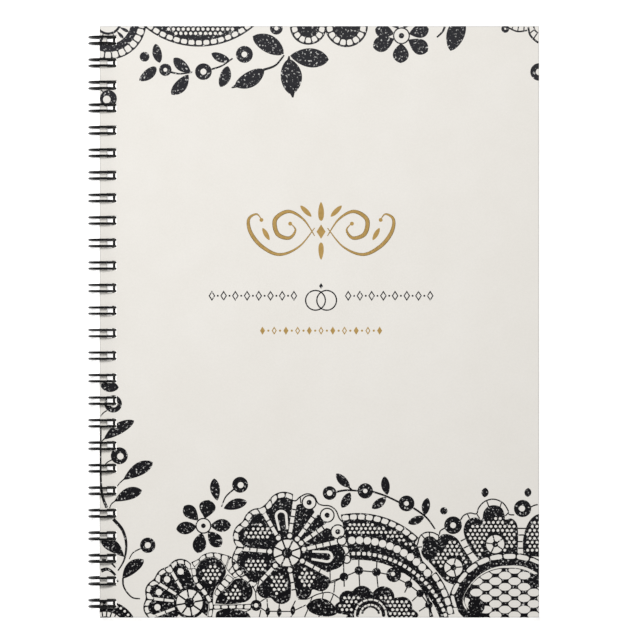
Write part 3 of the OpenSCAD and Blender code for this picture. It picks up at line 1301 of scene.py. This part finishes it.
for a, b in (((80.0, 8.0), (79.0, 5.6)), ((84.0, 9.2), (83.6, 6.2)), ((88.0, 9.0), (86.4, 5.2)),
             ((84.2, 12.6), (83.6, 9.4)), ((88.4, 13.4), (88.0, 9.4))):
    thread([a, b], 0.42)
print_lace("lace_drops")

# %% [markdown]
# ## The arcs
# Beside the large flower, three arcs share one solid band: a row of net, a row of large round
# openings, and a row of small square ones. Equal circles would give an even band. The real one
# narrows as it goes down to the right, so the circles have different middles.

# %% Arc band
HIGH, MID, LOW = (96.9, 6.3), (96.9, -5.0), (96.9, -11.0)
crest = arc(HIGH, 30.5, 101, 42, 3)
flank = arc(MID, 35.9, 47, 38, 3) + arc(MID, 34.6, 37, 8, 3)
under = arc(LOW, 32.7, 19, 94.5, 3)
band = crest + flank + under
big = [circle(polar(MID, 34.1, 93.6 - 4.9 * k), 1.42, 14) for k in range(12)]
small = []
for k in range(26):
    a = 92.6 - 3.3 * k
    small.append([polar(LOW, r, a + t) for r, t in ((34.6, 1.1), (34.4, 0), (34.6, -1.1),
                                                   (35.6, -1.1), (35.8, 0), (35.6, 1.1))])
small = [s for s in small if all(inside(p, band, 0.3) for p in s)]
upper = arc(HIGH, 30.3, 100.5, 42, 3) + arc(MID, 36.0, 49, 96.5, 3)
blot(band, big + small + net(upper, 1.68, 0.54, 0.9))
cell_band(arc(HIGH, 33.0, 101, 46, 2), arc(HIGH, 30.3, 101, 45, 2), 3.1, 0.5, 0.5, 0.3)
cell_band(arc(MID, 37.0, 37, 10, 2), arc(MID, 34.4, 37, 10, 2), 3.2, 0.5, 0.45, 0.2)
ring((110.5, 16.1), 2.8, 0.8, (-0.3, 0.3))
curl([(112.4, 17.6), (116.0, 16.6), (119.2, 13.8), (122.0, 10.0), (123.8, 5.4), (124.4, 0.2)], 1.1,
     1.0)
print_lace("lace_arcs")

# %% [markdown]
# Under the arcs hang beads on thin threads, as in a spider's web. A bead is a dot, and the
# threads run from bead to bead and on to the bands, so they are listed by the beads' numbers.

# %% Bead threads under the arcs
beads = [(91.8, 15.3), (97.4, 17.7), (104.0, 17.1), (116.1, 12.5), (120.4, 9.1), (123.7, 4.8)]
for k, bead in enumerate(beads):
    dot(bead, 1.65 if k < 3 else 1.45)
for a, b in ((0, 1), (1, 2), (3, 4), (4, 5)):
    thread([beads[a], beads[b]], 0.48)
for line in ([beads[2], (108.4, 16.2)], [(112.4, 14.4), beads[3]], [beads[0], (91.6, 21.8)],
             [beads[1], (97.4, 22.4)], [beads[2], (104.2, 21.6)], [beads[0], (86.2, 13.4)],
             [beads[0], (91.9, 11.6)], [beads[1], (97.7, 11.8)], [beads[2], (104.6, 11.4)],
             [beads[3], (114.6, 9.4)], [beads[4], (117.4, 6.2)], [beads[5], (120.0, 2.4)],
             [beads[3], (117.4, 15.6)], [beads[4], (122.6, 10.8)], [beads[5], (125.2, 0.3)],
             [(86.4, 17.2), (85.4, 20.2)], [(82.4, 12.2), (86.6, 13.4), (86.6, 18.4)]):
    thread(line, 0.45)
print_lace("lace_beads")

# %% [markdown]
# At the foot of the arcs stands half a flower of net with scalloped lobes over a round ladder.
# The lobes are cut out by the same turning ray as the petals, and everything below the page's
# edge is cut away.

# %% Scalloped net flower
base = (101.8, 0.9)
lobes = [((101.8, 0.9), 8.6), ((93.2, 7.0), 3.2), ((98.6, 8.0), 4.0), ((106.6, 7.6), 4.2),
         ((113.6, 4.0), 3.9), ((117.0, 0.0), 3.0), ((90.4, 3.6), 2.2)]
edge = lobed(base, lobes, 0, 180) + [(base[0] - 11.0, -2), (base[0] - 6, -2)]
edge += arc(base, 6.2, 180, 0, 6) + [(base[0] + 8, -2), (base[0] + 16, -2)]
blot(edge, net(edge, 1.72, 0.55, 1.2, lambda p: p[1] < 7.6))
stroke(arc(base, 4.9, 0, 180, 6), 1.3)
bars(arc(base, 6.3, 0, 180, 6), arc(base, 4.8, 0, 180, 6), 2.3, 0.4)
thread(arc(base, 3.2, 10, 170, 6), 0.8)
bars(arc(base, 4.4, 10, 170, 6), arc(base, 3.1, 10, 170, 6), 1.5, 0.3)
print_lace("lace_flower_net")

# %% [markdown]
# ## Fans and the corner medallion
# Three fans of net stand on the rim of a large round medallion. A fan's edge is too irregular
# for lobes, so it is given point by point as a smooth line and closed along the rim. Each fan
# has an open round eye at its foot, with spokes round a dot.

# %% Fans
disc = (154.9, 3.3)


def crook_r(angle, out=0.0):
    """The crook's outer radius, which grows towards its foot and then turns in."""
    if angle > 168:
        return 22.2 - 0.16 * (angle - 168) + out
    return 18.8 + 3.4 * max(0.0, angle - 95) / 73 + out


fan_left = smooth([(133.0, 12.4), (129.9, 13.7), (127.3, 16.7), (124.3, 20.3), (121.6, 22.8),
                   (120.8, 25.0), (121.5, 26.6), (121.3, 28.6), (122.8, 30.4), (125.2, 30.4),
                   (126.8, 29.2), (128.4, 31.1), (131.2, 31.3), (134.2, 29.8), (136.2, 26.8),
                   (138.2, 23.6), (140.0, 20.9)], 3)
fan_left += [polar(disc, crook_r(a, 2.0), a) for a in range(132, 155, 3)]
fan_mid = smooth([(142.3, 22.0), (139.6, 25.3), (137.6, 29.2), (136.7, 33.0), (138.0, 36.4),
                  (141.0, 37.7), (143.6, 36.8), (144.2, 39.6), (146.0, 41.8), (148.8, 42.2),
                  (151.2, 41.0), (152.2, 38.4), (152.4, 36.8), (154.6, 37.3), (156.6, 35.6),
                  (157.2, 32.4), (157.2, 28.4), (157.0, 23.4)], 3)
fan_mid += [polar(disc, crook_r(a, 2.0), a) for a in range(87, 124, 3)]
fan_right = smooth([(159.2, 23.4), (159.0, 28.6), (159.8, 32.6), (161.4, 36.2), (164.0, 38.6),
                    (167.6, 39.4)], 3) + [(167.6, 22.6)]
for edge, eye in ((fan_left, polar(disc, 26.9, 144.8)), (fan_mid, polar(disc, 25.1, 104.5)),
                  (fan_right, None)):
    holes = []
    if eye:
        holes.append(circle(eye, 3.4, 26))
        dot(eye, 1.15)
        angle = math.degrees(math.atan2(eye[1] - disc[1], eye[0] - disc[0]))
        for a in (0, 68, 140, 220, 292):
            thread([polar(eye, 0.6, angle + a), polar(eye, 3.5, angle + a)], 0.5)
    blot(edge, holes + net(edge, 1.72, 0.56, 1.25, lambda p: math.dist(p, disc) < 34.6, holes))
print("fans", len(blots), "blots")

# %% [markdown]
# A thin line with short spokes follows the fans at a small distance, ladders fill the gaps
# between them, and berries and leaves stand on top. They are drawn as threads over the same
# piece, because they would fall apart by themselves.

# %% Lines round the fans
for line, spokes in (
        ([(119.3, 22.8), (118.9, 25.6), (119.6, 28.2), (120.4, 30.6), (122.6, 32.0), (125.4, 31.9),
          (127.4, 31.0), (128.0, 32.6), (129.8, 33.7)],
         [((119.1, 26.4), (121.2, 26.6)), ((120.9, 31.1), (122.2, 29.6)),
          ((123.9, 32.0), (124.0, 30.4)), ((127.4, 31.0), (127.4, 29.6))]),
        ([(135.6, 36.6), (136.8, 38.4), (139.2, 39.3), (141.6, 39.0), (142.4, 41.2), (144.6, 43.6),
          (148.0, 44.5), (151.4, 43.2), (153.4, 40.4), (153.8, 38.8), (155.8, 38.6)],
         [((138.1, 39.1), (139.0, 37.2)), ((141.8, 38.8), (142.8, 37.2)),
          ((145.4, 43.9), (146.2, 41.8)), ((151.0, 43.3), (150.4, 41.4)),
          ((153.6, 39.4), (152.4, 38.2))])):
    thread(smooth(line, 4), 0.5)
    for a, b in spokes:
        thread([a, b], 0.45)
bars([(134.6, 31.4), (136.4, 26.8), (138.2, 23.6), (139.8, 21.2)],
     [(136.9, 32.6), (138.6, 27.4), (140.2, 24.4), (142.0, 22.4)], 2.7, 0.5)
bars([(157.0, 36.0), (157.0, 23.6)], [(161.0, 36.0), (159.2, 23.6)], 2.7, 0.5)
ring((132.8, 34.7), 3.35, 1.1)
ring((158.9, 41.0), 3.25, 1.15, (-0.2, 0.0))
curl([(161.8, 41.4), (163.4, 42.2), (165.6, 42.6)], 0.5)
dot((129.3, 40.1), 1.4)
leaf((144.6, 45.2), (145.0, 48.8), 2.7)
leaf((160.7, 45.3), (161.1, 48.7), 2.6)
print_lace("lace_fans")

# %% [markdown]
# The medallion's rim is a ladder of long cells and a thick black crook that grows towards its
# foot and curls in. The rim and the crook share one rule for their radius, so they can't drift
# apart. The curls are dots on a tail given point by point.

# %% Medallion
sweep = [56 + 3 * k for k in range(42)]
cell_band([polar(disc, crook_r(a, 2.3 - 0.6 * max(0, a - 120) / 70), a) for a in sweep],
          [polar(disc, crook_r(a, -0.1), a) for a in sweep], 5.0, 0.5, 0.45, 0.1)
thick = [2.4 + 0.9 * min(1.0, max(0.0, (a - 80) / 80)) - 0.09 * max(0, a - 168) for a in sweep]
blot([polar(disc, crook_r(a), a) for a in sweep]
     + [polar(disc, crook_r(a, -t), a) for a, t in zip(sweep[::-1], thick[::-1])])
blot(smooth([polar(disc, crook_r(179), 179), (134.8, 2.2), (136.2, 0.6), (138.0, -0.8),
             (141.0, -1.0), (143.8, -0.8), (144.0, 1.2), (142.6, 2.2), (140.6, 1.6), (138.9, 2.2),
             (137.4, 3.4), (136.7, 4.6)], 4))
dot((141.6, 4.2), 3.0)
dot((164.0, 13.9), 2.5)
blot(smooth([(161.0, 21.6), (163.4, 20.6), (166.4, 19.0), (166.6, 15.4), (164.8, 15.6),
             (164.0, 17.4), (162.4, 18.6), (160.6, 19.5)], 4))
print("rim and crook", len(blots), "blots")

# %% [markdown]
# Inside the crook lies an open mesh of wide cells. Net helpers would drop the cells that touch
# the edge. Here every cell's points are moved back to where the mesh ends, so the cells at the
# edge are cut short, as they are in lace.

# %% Open mesh in the medallion
CELL_U, CELL_V, SHRINK, LEAST_AREA = 7.2, 2.13, 0.94, 1.2
FIELD_IN, MESH_IN = 3.4, 3.7  # how far inside the crook the field and its mesh begin
curls = (((141.6, 4.2), 3.1), ((164.0, 13.9), 2.6))
quarter = [(2.5, 0.0), (2.15, 0.75), (1.3, 1.35), (0.45, 1.5)]
half = quarter + [(-x, y) for x, y in quarter[:0:-1]]
cell_shape = half + [(-x, -y) for x, y in half]


def mesh_reach(point):
    """How far the mesh goes from the medallion's middle, towards a point."""
    a = math.degrees(math.atan2(point[1] - disc[1], point[0] - disc[0]))
    return crook_r(180 if a < -90 else a, -MESH_IN)


def held(point):
    """The point, moved back to where the mesh ends if it is past it."""
    u, v = point
    size, reach = math.dist(point, disc), mesh_reach(point)
    if size > reach:
        u, v = disc[0] + (u - disc[0]) * reach / size, disc[1] + (v - disc[1]) * reach / size
    for (cu, cv), r in curls:
        size = math.dist((u, v), (cu, cv))
        if size < r:
            u, v = cu + (u - cu) * r / size, cv + (v - cv) * r / size
    return u, v


cells = [[(137.3, 7.6), (137.1, 5.8), (137.8, 4.2), (138.8, 3.0), (138.4, 4.2), (138.5, 5.6),
          (139.2, 6.7), (138.4, 7.3)]]
for row in range(-1, 9):
    for col in range(-3, 3):
        u, v = disc[0] + 1.0 + (col + 0.5 * (row % 2)) * CELL_U, 0.9 + row * CELL_V
        if math.dist((u, v), disc) > mesh_reach((u, v)) + 0.6 or any(
                math.dist((u, v), c) < r - 0.35 for c, r in curls):
            continue
        if u < 140.4 and v < 8.0:
            continue
        cell = [held((u + x * SHRINK, v + y * SHRINK)) for x, y in cell_shape]
        area = sum(a[0] * b[1] - b[0] * a[1] for a, b in zip(cell, cell[1:] + cell[:1])) / 2
        if area > LEAST_AREA:
            cells.append(cell)
blot([(136.0, -6.0), (172.0, -6.0)]
     + [polar(disc, crook_r(min(a, 180), -FIELD_IN), a) for a in range(-14, 196, 3)], cells)
print("mesh cells", len(cells))
print_lace("lace_medallion")

# %% [markdown]
# The lower left corner shows a quarter of one more round motif, mostly outside the page. Three
# arcs are enough for what is left of it.

# %% Lower left corner
low = (2.0, -6.0)
blot(arc(low, 12.4, 0, 110, 4) + arc(low, 8.2, 110, 0, 4),
     [circle(polar(low, 11.2, 20 + 9.5 * k), 0.5, 8) for k in range(9)])
stroke(arc(low, 6.0, 0, 110, 5), 1.0)
bars(arc(low, 8.3, 10, 110, 5), arc(low, 6.0, 10, 110, 5), 1.8, 0.5)
print_lace("lace_corner_low")

# %% [markdown]
# ## The ornaments in the middle
# A guest book carries a title and a date in the middle of its cover. Lettering is personal,
# so plain ornaments take its place at the same height and in the same colours. The first is a
# gold scroll. It is the same on both sides, so each stroke is drawn with its mirror image.

# %% Gold scroll
AXIS = 83.2


def both_sides(points, width, end_width, swell):
    """Draws a stroke and its mirror image on the other side of the page's middle."""
    line = smooth(points, 8)
    thread([(AXIS + x, y) for x, y in line], width, end_width, swell)
    thread([(AXIS - x, y) for x, y in line], width, end_width, swell)


def lozenge(centre, wide, tall, hole=0.0):
    """A diamond, open in the middle if hole is more than 0."""
    u, v = centre
    outline = [(u + wide / 2, v), (u, v + tall / 2), (u - wide / 2, v), (u, v - tall / 2)]
    inner = [(u + (x - u) * hole, v + (y - v) * hole) for x, y in outline]
    blot(outline, [inner] if hole else ())


lozenge((AXIS, 145.0), 3.4, 5.4)
leaf((AXIS, 149.0), (AXIS, 156.2), 2.2, 0.4)
leaf((AXIS, 141.0), (AXIS, 134.4), 2.0, 0.4)
both_sides([(2.4, 143.4), (6.6, 149.6), (12.2, 152.6), (17.2, 149.6), (16.4, 144.2), (12.0, 142.6),
            (9.6, 145.6), (11.6, 148.2)], 0.35, 0.3, 1.7)
both_sides([(2.4, 146.4), (8.2, 139.4), (15.6, 136.4), (22.2, 139.4), (26.4, 144.6), (27.2, 149.6),
            (24.2, 151.6), (22.2, 149.2)], 0.35, 0.3, 1.5)
for side in (-1, 1):
    leaf((AXIS + side * 19.4, 141.8), (AXIS + side * 22.0, 146.4), 1.7)
    leaf((AXIS + side * 3.6, 150.6), (AXIS + side * 7.8, 154.8), 1.8)
    dot((AXIS + side * 11.6, 148.0), 0.75)
    dot((AXIS + side * 22.4, 149.4), 0.75)
print_piece("scroll_gold", gold_finish)

# %% [markdown]
# Under it runs a dark rule of lozenges, with two linked rings in its middle. One loop over the
# two sides keeps it even.

# %% Dark rule with linked rings
for side in (-1, 1):
    for k in range(8):
        u = AXIS + side * (10.2 + 4.4 * k)
        lozenge((u, 120.9), 2.5, 3.9, 0.62)
        if k < 7:
            dot((u + side * 2.2, 120.9), 0.38)
    hoop((AXIS + side * 2.1, 119.2), 3.7, 40)
lozenge((AXIS, 124.6), 1.5, 2.2)
print_lace("rule_dark")

# %% [markdown]
# The last line is a short gold row, where open and solid lozenges take turns.

# %% Gold row
for k in range(-5, 6):
    lozenge((AXIS + 4.4 * k, 107.8), 1.9, 3.1, 0.0 if k % 2 else 0.55)
    if k < 5:
        dot((AXIS + 4.4 * (k + 0.5), 107.8), 0.42)
print_piece("row_gold", gold_finish)

# %% [markdown]
# The table is painted last. It is white with a hardly visible cloud, and shines a little by
# itself, as a table that is lit from below does, so that it stays white all round the book.

# %% Table paint
floor_finish, tree = new_finish("table_white", Roughness=0.9, Emission_Color=(1, 1, 1, 1),
                                Emission_Strength=0.6)
paint(tree, "Base Color", ramp(tree, noise(tree, 3), 0.3, 0.7, (0.88,) * 3, (0.90,) * 3))
floor.data.materials.append(floor_finish)
nothing_selected()

# %% [markdown]
# The faces of the print are counted at the end.

# %% Printed faces
print("printed faces", sum(printed.values()))
